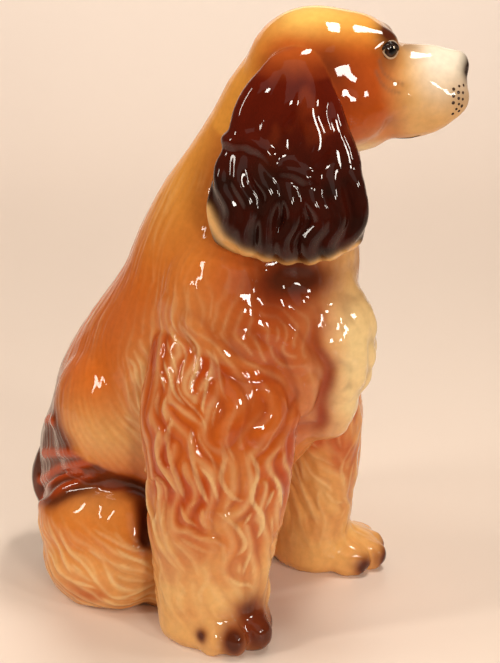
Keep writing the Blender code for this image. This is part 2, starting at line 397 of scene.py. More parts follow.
def coat_direction(p, n, curl):
    """Which way the coat lies at points of the skin, with the waves of wavy hair."""
    flip = np.array([-1.0, 1.0, 1.0])
    total = np.zeros_like(p)
    for point, way in COAT:
        for f in (np.ones(3), flip):
            weight = 1.0 / (1.0 + (np.sum((p - f * point) ** 2, axis=1) / COAT_REACH**2) ** 1.5)
            total += weight[:, None] * (f * way)
    total -= np.sum(total * n, axis=1, keepdims=True) * n
    lie = unit(total)
    across = np.cross(n, lie)
    angle = curl * (1.0 * lattice_noise(p, 17, 3) + 0.5 * lattice_noise(p, 9, 4))
    return unit(lie * np.cos(angle)[:, None] + across * np.sin(angle)[:, None])


def strand_pattern(skin, lie, wavelength):
    """Strands of a width along the coat: the phase across them at each point, and how sure it is."""
    cells = hash_cells(skin.p, GRAIN_SPACING)
    _, pick = np.unique(cells, return_index=True)
    k, kn = skin.p[pick], skin.n[pick]
    wave = np.cross(kn, lie[pick]) / np.broadcast_to(wavelength, (len(skin.p),))[pick][:, None] * 2 * np.pi
    phase = RNG.uniform(0, 2 * np.pi, len(k))

    def carried(points, normals, reach, width):
        """How each patch's wave reads at the points near it, and with what weight."""
        a, b = close_pairs(points, k, reach * GRAIN_REACH)
        gap = points[a] - k[b]
        weight = np.exp(-np.sum(gap * gap, axis=1) / (2 * (width * GRAIN_REACH) ** 2))
        weight *= np.maximum(np.sum(normals[a] * kn[b], axis=1), 0)
        return a, b, weight, np.exp(1j * np.sum(wave[b] * gap, axis=1)) * weight

    a, b, _, turn = carried(k, kn, 2.0, 0.8)
    state = np.exp(1j * phase)
    for _ in range(GRAIN_ROUNDS):
        z = turn * state[b]
        total = np.bincount(a, z.real, len(k)) + 1j * np.bincount(a, z.imag, len(k))
        state = total / np.maximum(np.abs(total), 1e-9)
    a, b, weight, turn = carried(skin.p, skin.n, 1.9, 0.62)
    z = turn * state[b]
    size = len(skin.p)
    total = np.bincount(a, z.real, size) + 1j * np.bincount(a, z.imag, size)
    norm = np.bincount(a, weight, size)
    return np.angle(total), np.abs(total) / np.maximum(norm, 1e-6)


class Comb:
    """Strokes drawn through the coat. New ones keep their distance, and end where they run into another."""

    def __init__(self, skin, lie, finder, gap):
        self.skin, self.lie, self.finder, self.gap = skin, lie, finder, gap
        self.taken = np.zeros(len(skin.p), int)
        self.crowded = np.zeros(len(skin.p), bool)
        self.points, self.strengths = [], []

    def draw(self, line, strength):
        """Keeps a stroke, fading at both ends, and bars others from its surroundings."""
        count = len(line)
        fade = min(FADE, count // 2)
        u = np.arange(count)
        ends = smoothstep(-1, fade, u) * smoothstep(-1, fade, count - 1 - u)
        for point in line[::2]:
            found = self.finder.find_range(point, KEEP_OFF * self.gap[self.finder.find(point)[1]])
            index = np.array([f[1] for f in found], int)
            far = np.array([f[2] for f in found])
            self.crowded[index] = True
            self.taken[index[far < TOUCH]] = len(self.points) + 1
        self.points.append(line)
        self.strengths.append(strength * ends)

    def walk(self, at, sense, turn, steps, where):
        """The points of a stroke that leaves a point along the coat (1) or against it (-1)."""
        line = []
        for _ in range(steps):
            index = self.finder.find(at)[1]
            n, way = self.skin.n[index], self.lie[index]
            way = sense * (way * math.cos(turn) + np.cross(n, way) * math.sin(turn))
            at = at + STEP * way
            q, index, gap = self.finder.find(at)
            if gap > LIFTED or where[index] < EDGE_OF_ZONE:
                break
            at = at - self.skin.n[index] * np.dot(at - np.array(q), self.skin.n[index])
            line.append(at)
            if self.taken[index]:
                break
        return line

    def fill(self, where, longest, drift):
        """Combs a zone, given as a weight at each point, with strokes that drift off the coat's lie."""
        zone = np.nonzero(where > THIN)[0]
        for index in RNG.permutation(zone):
            if self.crowded[index]:
                continue
            steps = int(longest / STEP * RNG.uniform(0.3, 0.6))
            turn = RNG.normal(0, drift)
            start = self.skin.p[index]
            back = self.walk(start, -1, turn, steps, where)
            line = back[::-1] + [start] + self.walk(start, 1, turn, steps, where)
            if len(line) < FEWEST:
                self.crowded[index] = True
                continue
            self.draw(np.array(line), 0.3 + 0.9 * RNG.uniform() ** 1.3)

    def field(self, reach, kernel):
        """The strongest stroke at each point, through a kernel of the distance."""
        points = np.vstack(self.points)
        strengths = np.concatenate(self.strengths)
        middles = (points[1:] + points[:-1]) / 2
        joined = np.linalg.norm(points[1:] - points[:-1], axis=1) < 2 * STEP
        points = np.vstack([points, middles[joined]])
        strengths = np.concatenate([strengths, ((strengths[1:] + strengths[:-1]) / 2)[joined]])
        a, b = close_pairs(self.skin.p, points, reach)
        offset = self.skin.p[a] - points[b]
        distance = np.sqrt(np.sum(offset * offset, axis=1))
        value = strengths[b] * kernel(distance)
        out = np.zeros(len(self.skin.p))
        np.maximum.at(out, a, value)
        return out


# Ridges on a foreleg: (degrees round the leg, height) along each. They are mirrored on the other leg.
LEG_RIDGES = [
    [(112, 152), (116, 140), (112, 128), (100, 118), (88, 108)],
    [(100, 160), (106, 146), (100, 130), (92, 120), (84, 104)],
    [(82, 156), (80, 140), (76, 128), (68, 114), (60, 102)],
    [(52, 150), (46, 136), (50, 122), (40, 110), (26, 106)],
    [(60, 102), (46, 96), (34, 86), (30, 76), (42, 66)],
    [(94, 82), (80, 78), (66, 74), (52, 72)],
    [(112, 98), (118, 84), (112, 72), (98, 62), (88, 58)],
    [(98, 88), (104, 76), (94, 66), (82, 54)],
    [(118, 68), (112, 56), (118, 44), (110, 34), (98, 24)],
    [(96, 54), (88, 44), (94, 34), (84, 24)],
    [(70, 66), (64, 54), (72, 42), (66, 32)],
    [(24, 140), (18, 124), (24, 108), (14, 92), (20, 76)],
    [(46, 58), (36, 50), (22, 46), (12, 38)],
]
LEG_AXIS = (58, -50)
# Locks fanning from the tail over the rump, seen from the side: (back, height) along each.
FAN = [
    [(96, 88), (74, 98), (58, 106), (42, 111)],
    [(114, 57), (92, 72), (73, 86), (52, 98), (34, 107)],
    [(112, 42), (94, 58), (77, 76), (60, 88), (44, 97)],
    [(84, 62), (69, 72), (56, 83), (36, 93)],
    [(98, 110), (84, 118), (70, 124)],
]


def fan_locks(p, tree):
    """1 along the middle of each lock of the fan, falling to 0 beside it."""
    locks = np.zeros(len(p))
    for side in (-1, 1):
        for lock in FAN:
            line = [from_side(tree, side, y, z) for y, z in lock]
            found = [q for q in line if q is not None]
            locks = np.maximum(locks, ridge(line_distance(p, found), FAN_WIDTH))
    return locks


def draw_leg_ridges(comb, tree):
    for side in (-1, 1):
        for path in LEG_RIDGES:
            line = [around(tree, (side * LEG_AXIS[0], LEG_AXIS[1]), -side * a, z) for a, z in path]
            if all(p is not None for p in line):
                comb.draw(curve_through(line), LEG_STROKE)


# --- what is modelled into each part ---

# An ear's curls, seen from the side: (forwards, up) in the head's frame, then half width and height.
EAR_CURLS = [
    ([(-28, 10), (-37, -4), (-44, -18), (-47, -30)], 9, 3.2),
    ([(-14, 4), (-20, -12), (-27, -26), (-26, -36)], 9, 2.8),
    ([(0, 4), (-4, -14), (1, -30), (-6, -46)], 9, 2.8),
    ([(13, 0), (13, -18), (20, -36), (22, -50)], 8, 2.6),
    ([(-59, -50), (-57, -38), (-49, -32), (-38, -32), (-29, -38), (-24, -50)], 6.5, 4.6),
    ([(-55, -40), (-55, -58), (-49, -72), (-52, -88)], 6.8, 6.0),
    ([(-45, -38), (-46, -55), (-39, -69), (-43, -84), (-42, -97)], 6.8, 6.2),
    ([(-35, -38), (-34, -51), (-27, -63), (-30, -78), (-30, -101)], 6.8, 6.2),
    ([(-24, -50), (-18, -47), (-10, -49), (-3, -54)], 6.0, 4.4),
    ([(-21, -51), (-16, -64), (-14, -77), (-20, -90), (-17, -104)], 6.8, 6.0),
    ([(-6, -52), (-3, -65), (3, -78), (-5, -90), (-3, -104)], 6.8, 6.0),
    ([(8, -48), (10, -64), (13, -78), (6, -92), (9, -102)], 6.5, 5.0),
    ([(19, -44), (24, -62), (25, -78), (17, -92)], 6.0, 5.4),
]
# Locks on a shoulder: (degrees round the chest, height) along each, then half width and height.
CHEST_AXIS = (0, -40)
SHOULDER_LOCKS = [
    ([(52, 215), (43, 208), (35, 197), (31, 184)], 9.0, 4.2),
    ([(76, 205), (69, 194), (60, 187), (50, 184)], 7.5, 3.0),
    ([(33, 181), (27, 170), (29, 158), (37, 150)], 8.5, 4.0),
    ([(52, 178), (45, 168), (46, 156), (53, 147)], 8.5, 3.6),
    ([(72, 182), (64, 170), (64, 158), (70, 146)], 8.0, 3.2),
    ([(88, 217), (80, 206), (77, 195)], 8.0, 3.0),
    ([(64, 211), (57, 201), (48, 195)], 7.5, 3.2),
]


def cord_relief(skin, own, cords):
    """Height of round cords laid on the skin: (line, half width, height) each, with creases between."""
    height = np.zeros(len(skin.p))
    for line, width, rise in cords:
        line = curve_through([q for q in line if q is not None])
        u = np.linspace(0, 1, len(line))
        ends = smoothstep(-0.05, 0.3, u) * (1 - 0.5 * smoothstep(0.85, 1, u))
        a, b = close_pairs(skin.p[own], line, width)
        gap = np.linalg.norm(skin.p[own][a] - line[b], axis=1) / width
        np.maximum.at(height, own[a], rise * ends[b] * (1 - gap**2))
    return height


def ear_relief(skin, tree, weight):
    """How far the curls stand out of the ears."""
    height = np.zeros(len(skin.p))
    for side in (-1, 1):
        own = np.nonzero((weight > 0) & (head_frame(skin.p)[:, 1] * side > 0))[0]
        cords = [([on_head(tree, side, *q) for q in line], w, rise) for line, w, rise in EAR_CURLS]
        height += cord_relief(skin, own, cords)
    return height * weight


def shoulder_relief(skin, tree):
    """How far the round locks stand out of the shoulders."""
    own = np.nonzero(skin.p[:, 2] > 120)[0]
    height = np.zeros(len(skin.p))
    for side in (-1, 1):
        cords = []
        for lock, width, rise in SHOULDER_LOCKS:
            line = [around(tree, CHEST_AXIS, -side * a, z) for a, z in lock]
            cords.append((line, width, rise))
        height = np.maximum(height, cord_relief(skin, own, cords))
    return height


def coat_zones(skin, masks):
    """Where each kind of coat is, as weights from 0 to 1."""
    p = skin.p
    side = both_sides(p)
    h = head_frame(p)
    torso = masks["torso_shell"]
    outer = np.abs(h[:, 1]) > 38
    z = {}
    z["ears"] = smoothstep(0.3, 0.7, pair(masks, "ear")) * outer * smoothstep(16, 0, h[:, 2])
    wavy = 1.3 * near(side, (76, -42, 192), (34, 30, 36)) + near(side, (72, -6, 165), (16, 17, 34))
    z["wavy"] = np.clip(wavy, 0, 1) * torso
    z["shoulder"] = np.clip(1.5 * near(side, (50, -90, 208), (26, 28, 30)), 0, 1) * torso
    z["bib"] = np.clip(1.5 * near(side, (0, -128, 185), (28, 34, 62)), 0, 1) * torso
    z["legs"] = pair(masks, "foreleg") * smoothstep(12, 30, p[:, 2])
    z["haunch"] = pair(masks, "hind_leg") * (1 - smoothstep(44, 74, p[:, 2]))
    rest = 1 - np.clip(z["wavy"] + z["shoulder"] + z["bib"], 0, 1)
    z["back"] = torso * rest * (1 - smoothstep(262, 325, p[:, 2]))
    z["tail"] = masks["tail"]
    return z


def comb_coat(skin, z, lie, finder, tree):
    """Combs the ridges of the coat and the cords of the bib. Returns how high both are at each point."""
    vary = 1 + 0.45 * lattice_noise(skin.p, 22, 5)
    gap = 8.0 + 1.0 * z["back"] + 2.0 * z["legs"] - 2.0 * z["wavy"] + 0.5 * z["haunch"]
    ridges = Comb(skin, lie, finder, vary * gap)
    draw_leg_ridges(ridges, tree)
    ridges.fill(np.clip(z["legs"] + z["wavy"], 0, 1), 70, 0.3)
    ridges.fill(np.clip(z["haunch"] + z["back"] + z["tail"], 0, 1), 90, 0.12)
    crest = ridges.field(8, lambda d: 0.5 * np.exp(-d / 3.0) + 0.5 * ridge(d, 1.25))
    cords = Comb(skin, lie, finder, 13 * vary)
    cords.fill(z["bib"], 34, 0.6)
    cord = cords.field(8, lambda d: np.clip(1 - (d / 8) ** 2, 0, 1))
    return crest, skin.blurred(cord, 3)


def model_coat(skin, masks):
    """Combs the coat, raises it, and returns how much crest, and how much painted shade for creases and
    seams, is at each point.
    """
    z = coat_zones(skin, masks)
    p = skin.p
    side = both_sides(p)
    tree = skin.tree()
    finder = KDTree(len(p))
    for index, point in enumerate(p.tolist()):
        finder.insert(point, index)
    finder.balance()
    curl = 0.3 + 0.75 * z["legs"] + 0.85 * z["wavy"] + 1.0 * z["shoulder"] + 0.7 * z["bib"]
    curl += 0.3 * z["haunch"]
    lie = coat_direction(p, skin.n, curl)

    # flat overlapping locks: a steep edge beside each, and a seam that takes painted shade
    phase, sure = strand_pattern(skin, lie, 9 + 3 * z["legs"] - 2 * z["wavy"] - 2 * z["shoulder"])
    t = phase / (2 * np.pi) % 1.0
    lock = 1 - (1 - np.minimum(t / 0.68, (1 - t) / 0.32)) ** 1.7
    sure = smoothstep(0.08, 0.5, sure)
    edge = ridge(t - 0.6, 0.17) * sure
    seam = ridge(np.minimum(t, 1 - t), 0.12) * sure
    patch = smoothstep(-0.5, 0.3, lattice_noise(p, 34, 55))

    # combed ridges, the bib's cords, and the round locks of the shoulders, with room made for them
    crest, cord = comb_coat(skin, z, lie, finder, tree)
    groove = 1 - smoothstep(0.0, 0.45, cord)
    locks = skin.blurred(shoulder_relief(skin, tree), 3)
    near_locks = np.clip(skin.blurred(locks, 60) / 1.6, 0, 1)
    legs = z["legs"] * (0.35 + 0.65 * patch) * (1 - 0.45 * masks["left_foreleg"])
    legs = legs * (1 - 0.4 * near_locks)
    crests = 1.5 * legs + 1.1 * z["wavy"] * (1 - 0.35 * near_locks) + 0.8 * z["haunch"]
    height = crest * (crests + 0.3 * z["back"] + z["tail"])
    under_ear = near(side, (38, -98, 240), (26, 22, 14))
    height += (cord - 0.4) * 3.6 * z["bib"]
    height += (locks - 1.0 * near_locks) * (1 - under_ear)
    fan = fan_locks(p, tree)
    height += 2.0 * fan
    rise = 1.6 * legs + 0.9 * z["wavy"] + 0.6 * z["shoulder"]
    rise += 0.2 * z["back"] * patch + 0.8 * z["haunch"]
    height += (lock * sure - 0.5) * rise * (0.75 + 0.35 * lattice_noise(p, 18, 53))

    # the ears' curls, lumps that vary the whole, fine strands, and the creases
    height += ear_relief(skin, tree, z["ears"])
    lump = lattice_noise(p, 15, 51)
    height += lump * (1.0 * z["legs"] + 0.5 * z["shoulder"] + 0.6 * z["bib"] + 0.7 * z["haunch"])
    height += 0.7 * lattice_noise(p, 22, 54) * z["ears"]
    phase, sure = strand_pattern(skin, lie, 4.8)
    fine = np.cos(phase) * smoothstep(0.1, 0.6, sure) * (0.5 + 0.5 * lattice_noise(p, 13, 52))
    height += fine * (0.14 * z["back"] + 0.2 * z["wavy"] + 0.1 * z["legs"] + 0.12 * z["haunch"])
    height -= 2.6 * ridge(line_distance(side, BIB_CREASE), 4.5)
    height -= 2.2 * ridge(line_distance(side, HAUNCH_CREASE), 6.0)
    height -= 3.5 * near(side, (38, -98, 238), (20, 16, 9))
    skin.push(height + swellings(p, TOE_SHAPES))
    skin.smooth(1)
    skin.relax(z["ears"], 6)
    skin.relax(z["tail"], 6)
    skin.relax(np.clip(z["shoulder"] + 0.7 * z["bib"] + under_ear, 0, 1), 5)

    hairy = np.clip(legs + z["wavy"] + z["haunch"] + 0.32 * z["back"] * patch, 0, 1)
    lit = np.clip(smoothstep(0.25, 0.85, crest) + 0.6 * edge, 0, 1) * hairy
    lit += 0.4 * edge * z["shoulder"]
    lit *= 1 - 0.3 * near_locks
    # painted shade: dark in the seams beside the locks, in the bib's grooves and in the creases round the
    # shoulder locks
    seam_shade = seam * np.clip(0.6 * legs + 0.25 * z["back"] * patch, 0, 1)
    seam_shade = np.maximum(seam_shade, groove * z["bib"])
    seam_shade = np.maximum(seam_shade, 0.9 * near_locks * (1 - smoothstep(0.2, 2.2, locks)))
    return z, lit, seam_shade, fine, fan


# Creases on the left side of the body, mirrored on the right.
BIB_CREASE = [
    (30, -112, 218), (33, -110, 199), (27, -116, 182), (25, -111, 161), (21, -108, 142), (31, -100, 140),
]
HAUNCH_CREASE = [
    (62, 80, 66), (75, 65, 71), (70, 42, 85), (70, 22, 93), (62, 2, 88), (67, -6, 76), (73, -9, 60),
]
# Swellings and hollows of the toes: middle, radii, rise.
TOE_SHAPES = [
    ((-68, -92, 14), (9, 9, 12), 2.2),
    ((-78, -88, 13), (2.6, 12, 12), -3.0),
    ((-86, -85, 10), (6, 7, 8), 1.6),
    ((-92, -76, 10), (3.5, 5, 9), -2.0),
    ((59, -104, 11), (5, 7, 7), 1.4),
    ((66, -108, 12), (2.4, 12, 10), -2.8),
    ((74, -111, 12), (5.5, 7, 8), 1.4),
    ((83, -110, 10), (2.4, 8, 8), -2.0),
]


def swellings(p, shapes):
    height = np.zeros(len(p))
    for middle, radii, rise in shapes:
        height += rise * near(p, middle, radii)
    return height


def soften_joints(skin):
    """Slip fills the seams where the haunches and the forelegs join the body."""
    side = both_sides(skin.p)
    skin.relax(ridge(line_distance(side, HAUNCH_CREASE), 10.0), 40)
    skin.relax(near(both_sides(skin.p), (84, -48, 160), (26, 36, 13)), 40)


def stand_flat(skin):
    """Presses what bulges under the feet up to where they stand. A slight slope keeps each face open."""
    height = skin.p[:, 2]
    skin.p[:, 2] = np.maximum(height, SOLE_SLOPE * (height + SOLE_DEPTH))
    skin.update_normals()


# Rounding off on the head: middle, radii, strength, rounds. The roots of the ears, the brow, the crown.
HEAD_SOFT = [
    ((-14, 36, 12), (30, 18, 15), 1.7, 140),
    ((38, 16, 30), (12, 14, 8), 1.0, 25),
    ((14, 10, 40), (30, 30, 14), 1.4, 80),
]
# Swellings and hollows of the head: middle, radii, rise.
HEAD_SHAPES = [
    ((45, 23, 17), (8, 10, 6), -1.4),
    ((38, 27, 4), (9, 10, 5), 0.8),
    ((44, 22, -25), (6, 9, 4), -0.7),
    ((36, 20, -22), (7, 9, 7), 0.8),
    ((88, 8, -13), (13, 16, 11), 1.6),
    ((74, 5, -26), (9, 12, 6), 3.4),
    ((60, 22, -15), (9, 9, 7), 1.0),
    ((92, 7, 3), (4, 2.5, 2.5), -1.0),
]


def model_head(skin):
    """Softens the ears' roots into the skull and shapes the brow, the eye sockets and the lips."""
    fold = head_fold(skin.p)
    for middle, radii, strength, rounds in HEAD_SOFT:
        skin.relax(np.clip(strength * near(fold, middle, radii), 0, 1), rounds)
    skin.push(swellings(fold, HEAD_SHAPES))


# --- small separate details ---


def add_piece(name, mesh, colours, node, material):
    """Links a mesh with its painted points, as a piece in the place of a casting."""
    layer = mesh.attributes.new("underglaze", "FLOAT_COLOR", "POINT")
    rgba = np.hstack([colours, np.ones((len(colours), 1))])
    layer.data.foreach_set("color", rgba.astype(np.float32).ravel())
    mesh.materials.append(material)
    piece = link_object(name, mesh)
    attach(piece, "root")
    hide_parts(node)


class Detail:
    """A small coloured piece gathered from balls and tubes, in millimetres."""

    def __init__(self):
        self.points, self.faces, self.colours = [], [], []

    def grid(self, rows, colour):
        """A closed skin through rings of points, with a face over each end."""
        first = len(self.points)
        count = len(rows[0])
        for row in rows:
            self.points += [list(q) for q in row]
            self.colours += [colour(q) if callable(colour) else colour for q in row]
        for k in range(len(rows) - 1):
            for m in range(count):
                a, b = first + k * count + m, first + k * count + (m + 1) % count
                self.faces.append((a, b, b + count, a + count))
        last = first + (len(rows) - 1) * count
        self.faces.append(tuple(range(first + count - 1, first - 1, -1)))
        self.faces.append(tuple(range(last, last + count)))

    def ball(self, middle, axes, radii, colour, rings=12, around=24):
        """An ellipsoid whose third axis is the way out of the skin."""
        rows = []
        for k in range(rings + 1):
            a = math.pi * (0.004 + 0.992 * k / rings)
            ring = []
            for m in range(around):
                b = 2 * math.pi * m / around
                local = (math.sin(a) * math.cos(b), math.sin(a) * math.sin(b), math.cos(a))
                ring.append(middle + sum(axes[j] * radii[j] * local[j] for j in range(3)))
            rows.append(ring)
        self.grid(rows, colour)

    def tube(self, line, out, radius, colour, sides=8):
        """A round cord along a line, thin at both ends."""
        line = np.asarray(line)
        along = unit(np.gradient(line, axis=0))
        across = unit(np.cross(along, out))
        rows = []
        for k, q in enumerate(line):
            u = k / (len(line) - 1)
            r = radius * (0.25 + 0.75 * math.sin(math.pi * u) ** 0.5)
            up = np.cross(across[k], along[k])
            angles = [2 * math.pi * m / sides for m in range(sides)]
            rows.append([q + r * (math.cos(a) * across[k] + math.sin(a) * up) for a in angles])
        self.grid(rows, colour)

    def make(self, name, node, material):
        mesh = bpy.data.meshes.new(name)
        mesh.from_pydata((np.array(self.points) * MM).tolist(), [], self.faces)
        mesh.update()
        mesh.polygons.foreach_set("use_smooth", np.ones(len(self.faces), bool))
        bm = bmesh.new()
        bm.from_mesh(mesh)
        bmesh.ops.recalc_face_normals(bm, faces=bm.faces)
        bm.to_mesh(mesh)
        bm.free()
        add_piece(name, mesh, np.array(self.colours), node, material)


def skin_way_out(tree, point):
    """The direction out of the skin at a point on it."""
    return np.array(tree.find_nearest(Vector(point))[1])


def sided(side, name):
    return ("left_" if side > 0 else "right_") + name


EYE = (43.5, 17.5)  # forwards and up in the head's frame
EYE_RADIUS = 7.0
EYE_OUT = 2.6  # how far it stands out of the skin
EYE_WHITE = (0.42, 0.30, 0.20)
# Rings of an eye: how far each reaches from the middle of the gaze, and its colour.
EYE_RINGS = [
    (2.9, (0.004, 0.003, 0.003)),
    (4.6, (0.045, 0.016, 0.008)),
    (5.3, (0.012, 0.006, 0.005)),
]
# Lids and the fold below them: rise, half width, thickness, colour.
LIDS = [
    (4.4, 5.6, 1.5, (0.02, 0.009, 0.006)),
    (-4.4, 5.6, 0.8, (0.55, 0.36, 0.22)),
    (-5.9, 6.16, 0.45, (0.06, 0.024, 0.012)),
]


def make_eye(tree, side, material):
    spot = on_head(tree, side, *EYE)
    out = unit(0.8 * skin_way_out(tree, spot) + 0.2 * (side * HEAD_LEFT))
    ahead = unit(HEAD_FORWARD - out * np.dot(HEAD_FORWARD, out))
    up = np.cross(ahead, out) * (-side)
    if up[2] < 0:
        up = -up
    middle = spot - out * (EYE_RADIUS - EYE_OUT)
    gaze = unit(out + 0.12 * ahead + 0.06 * up)

    def paint(q):
        off = np.linalg.norm(q - middle - EYE_RADIUS * gaze)
        return next((colour for reach, colour in EYE_RINGS if off < reach), EYE_WHITE)

    eye = Detail()
    eye.ball(middle, (ahead, up, out), [EYE_RADIUS] * 3, paint, 40, 64)
    # a painted highlight: a small white glint dot high on the eye
    glint = unit(gaze + 0.34 * up + 0.1 * ahead)
    axes = (ahead, unit(np.cross(glint, ahead)), glint)
    eye.ball(middle + EYE_RADIUS * glint, axes, (0.7, 1.1, 0.15), WHITE, 6, 12)
    for rise, half_width, thickness, colour in LIDS:
        line = []
        for u in np.linspace(-1, 1, 25):
            a = half_width * u
            b = rise * (1 - abs(u) ** 2.2) - 0.8 * u
            deep = math.sqrt(max(EYE_RADIUS**2 - a * a - b * b, 0.25 * EYE_RADIUS**2))
            line.append(middle + (EYE_RADIUS + 0.15) * unit(ahead * a + up * b + out * deep))
        eye.tube(line, out, thickness, colour)
    eye.make(sided(side, "eye"), "head_shell", material)


# Whisker spots on a lip: (forwards, up) in the head's frame.
WHISKER_SPOTS = [
    (82.5, -6), (86, -4.5), (89, -4.5), (85.5, -8), (88.5, -8.5), (82.4, -10), (85.7, -11.5),
    (88.4, -12.3), (82.4, -14), (86, -15), (88, -16.5), (84.6, -18), (86.4, -19.5), (82.6, -21),
]


def make_whisker_spots(tree, side, material):
    spots = Detail()
    for forward, height in WHISKER_SPOTS:
        place = on_head(tree, side, forward, height)
        if place is None:
            continue
        out = skin_way_out(tree, place)
        across = unit(np.cross(out, UP))
        radius = 1.0 + 0.15 * math.sin(7 * forward + 3 * height)
        axes = (across, np.cross(out, across), out)
        spots.ball(place, axes, (radius, radius, 0.35), SPOT_BROWN, 6, 12)
    spots.make(sided(side, "whisker_spots"), "head_shell", material)


def under_lip(tree, side, forward, height):
    """The point on the head towards its middle line from below the lip."""
    way = unit(-side * 0.75 * HEAD_LEFT + 0.66 * UP)
    middle = HEAD_CENTRE + HEAD_FORWARD * forward + UP * height
    return land(tree, middle - 150 * way, way)


MOUTH = [(50, -30), (55, -31), (60, -30), (65, -27)]


def make_mouth(tree, side, material):
    line = curve_through([under_lip(tree, side, f, z) for f, z in MOUTH], 0.8)
    mouth = Detail()
    mouth.tube(line, skin_way_out(tree, line[len(line) // 2]), 0.45, MOUTH_BROWN)
    mouth.make(sided(side, "mouth_line"), "head_shell", material)


# --- colours ---


# Underglaze colours, as linear RGB.
GOLD = (0.86, 0.36, 0.055)
ORANGE = (0.62, 0.145, 0.018)
ROSE = (0.56, 0.135, 0.035)
RED = (0.48, 0.06, 0.006)
RUST = (0.34, 0.05, 0.010)
CREAM = (0.80, 0.44, 0.15)
IVORY = (0.90, 0.64, 0.30)
WHITE = (0.97, 0.84, 0.66)
BROWN = (0.085, 0.017, 0.006)
GREY_BROWN = (0.22, 0.11, 0.06)
BLACK_BROWN = (0.020, 0.005, 0.003)
OXBLOOD = (0.11, 0.008, 0.002)
CROWN_YELLOW = (0.96, 0.66, 0.17)
TEMPLE_YELLOW = (0.96, 0.62, 0.15)
SPOT_BROWN = (0.045, 0.018, 0.010)
MOUTH_BROWN = (0.035, 0.014, 0.008)


# The amount of a spray is a strength, times masks and soft patches between 0 and 1. It is cut off at 1.


def spray(colour, paint, amount):
    """Airbrushes a paint over the colours where the amount says."""
    amount = np.clip(amount, 0, 1)[:, None]
    return colour * (1 - amount) + np.array(paint) * amount


def spray_patches(colour, patches, mask, p):
    """Airbrushes soft balls of colour: paint, strength, middle, radii."""
    for paint, strength, middle, radii in patches:
        colour = spray(colour, paint, strength * mask * near(p, middle, radii))
    return colour


def line_distance(p, points):
    """How far each point is from a smooth line."""
    line = curve_through(points, 2.0)
    best = np.full(len(p), 1e9)
    for q in line:
        best = np.minimum(best, np.sum((p - q) ** 2, axis=1))
    return np.sqrt(best)


# Dark toes: middle, radii, how dark.
TOES = [
    ((-69, -91, 15), (11, 12, 14), 1.2),
    ((-72, -86, 28), (8, 8, 9), 0.7),
    ((-87, -83, 12), (6, 7, 9), 1.2),
    ((-94, -63, 14), (3.5, 4, 4), 0.9),
    ((-50, -88, 9), (7, 8, 9), 0.9),
    ((57, -104, 8), (6, 6, 7), 1.0),
    ((75, -111, 9), (5.5, 6, 7), 1.1),
    ((92, -100, 8), (6, 6, 7), 0.9),
]


def paint_toes(colour, skin, masks):
    paws = pair(masks, "foreleg")
    for middle, radii, dark in TOES:
        wide = np.array(radii) * 1.35
        colour = spray(colour, RUST, 1.0 * dark * paws * near(skin.p, middle, wide))
        colour = spray(colour, BROWN, 1.3 * dark * paws * near(skin.p, middle, radii))
    return colour


def paint_body(skin, masks, z, lit, seam_shade, fine):
    """The colours of the coat, what the modelled fur does to them, and painted shade in its seams, creases
    and under the ear.
    """
    p = skin.p
    side = both_sides(p)
    cloud = clouds(p, 26, 9, 11)
    broad = lattice_noise(p, 34, 15)
    hind = pair(masks, "hind_leg")
    fore = pair(masks, "foreleg")
    low = 1 - smoothstep(25, 130, p[:, 2])
    # the coat at large: orange, redder on legs and shoulders, golden on the nape
    colour = np.tile(np.array(ORANGE), (len(p), 1))
    colour = spray(colour, ROSE, 0.4 + 0.6 * broad - 0.3 * z["legs"])
    colour = spray(colour, RED, 0.42 * z["legs"] + 0.4 * z["shoulder"] + 0.25 * cloud)
    nape = smoothstep(220, 300, p[:, 2]) * smoothstep(-70, -30, p[:, 1])
    colour = spray(colour, GOLD, 0.95 * nape)
    # the flank and the shoulder, paler, and the neck beside the ear, darker
    colour = spray(colour, CREAM, 0.75 * near(side, (70, 22, 126), (36, 44, 20)) * (1 + 0.3 * fine))
    colour = spray(colour, CREAM, 0.55 * z["wavy"] * (0.7 + 0.6 * cloud))
    colour = spray(colour, RUST, 0.6 * near(side, (46, -42, 296), (18, 22, 48)))
    # the feet, creamy, and the haunches
    colour = spray(colour, CREAM, fore * (1.1 * low - 0.06 + 0.45 * cloud))
    colour = spray(colour, GOLD, 0.35 * hind)
    colour = spray(colour, CREAM, 0.3 * hind * near(side, (72, 40, 84), (20, 26, 14)))
    foot = 1 - smoothstep(30, 66, p[:, 2])
    colour = spray(colour, CREAM, 0.68 * hind * foot * (0.8 + 0.4 * cloud))
    hem = near(side, (80, 40, 14), (40, 50, 12)) * smoothstep(-0.2, 0.5, lattice_noise(p, 24, 18))
    colour = spray(colour, RED, 0.75 * hind * hem)
    colour = spray(colour, ORANGE, 0.4 * hind * near(side, (86, 45, 48), (20, 30, 18)))
    # the left foreleg is paler all over
    colour = spray(colour, GOLD, 0.3 * masks["left_foreleg"])
    colour = spray(colour, CREAM, 0.35 * masks["left_foreleg"])
    # painted shade in rust under the ear, cream behind the elbow, the ivory bib and the cream under the chin
    colour = spray(colour, RUST, 0.4 * near(side, (64, -76, 208), (22, 22, 18)))
    colour = spray(colour, CREAM, 0.35 * fore * near(side, (92, -40, 80), (18, 24, 24)))
    colour = spray(colour, IVORY, 1.7 * near(side, (0, -128, 190), (25, 30, 62)) * (1 - 0.2 * cloud))
    colour = spray(colour, CREAM, 0.7 * near(side, (0, -120, 240), (30, 30, 24)))
    # crests pale, hollows red, and painted shade: seams dark, grooves grey-brown on the bib
    hollow = z["legs"] * (1 - lit) * smoothstep(-0.25, 0.35, lattice_noise(p, 19, 16))
    colour = spray(colour, RED, 0.9 * hollow * (1 - 0.75 * low))
    colour = spray(colour, IVORY, lit * (0.5 + 0.35 * lattice_noise(p, 24, 17)) * (1 - z["tail"]))
    colour = spray(colour, RUST, 0.8 * seam_shade * (1 - z["bib"]) * (1 - 0.5 * low))
    return spray(colour, GREY_BROWN, 0.38 * seam_shade * z["bib"])


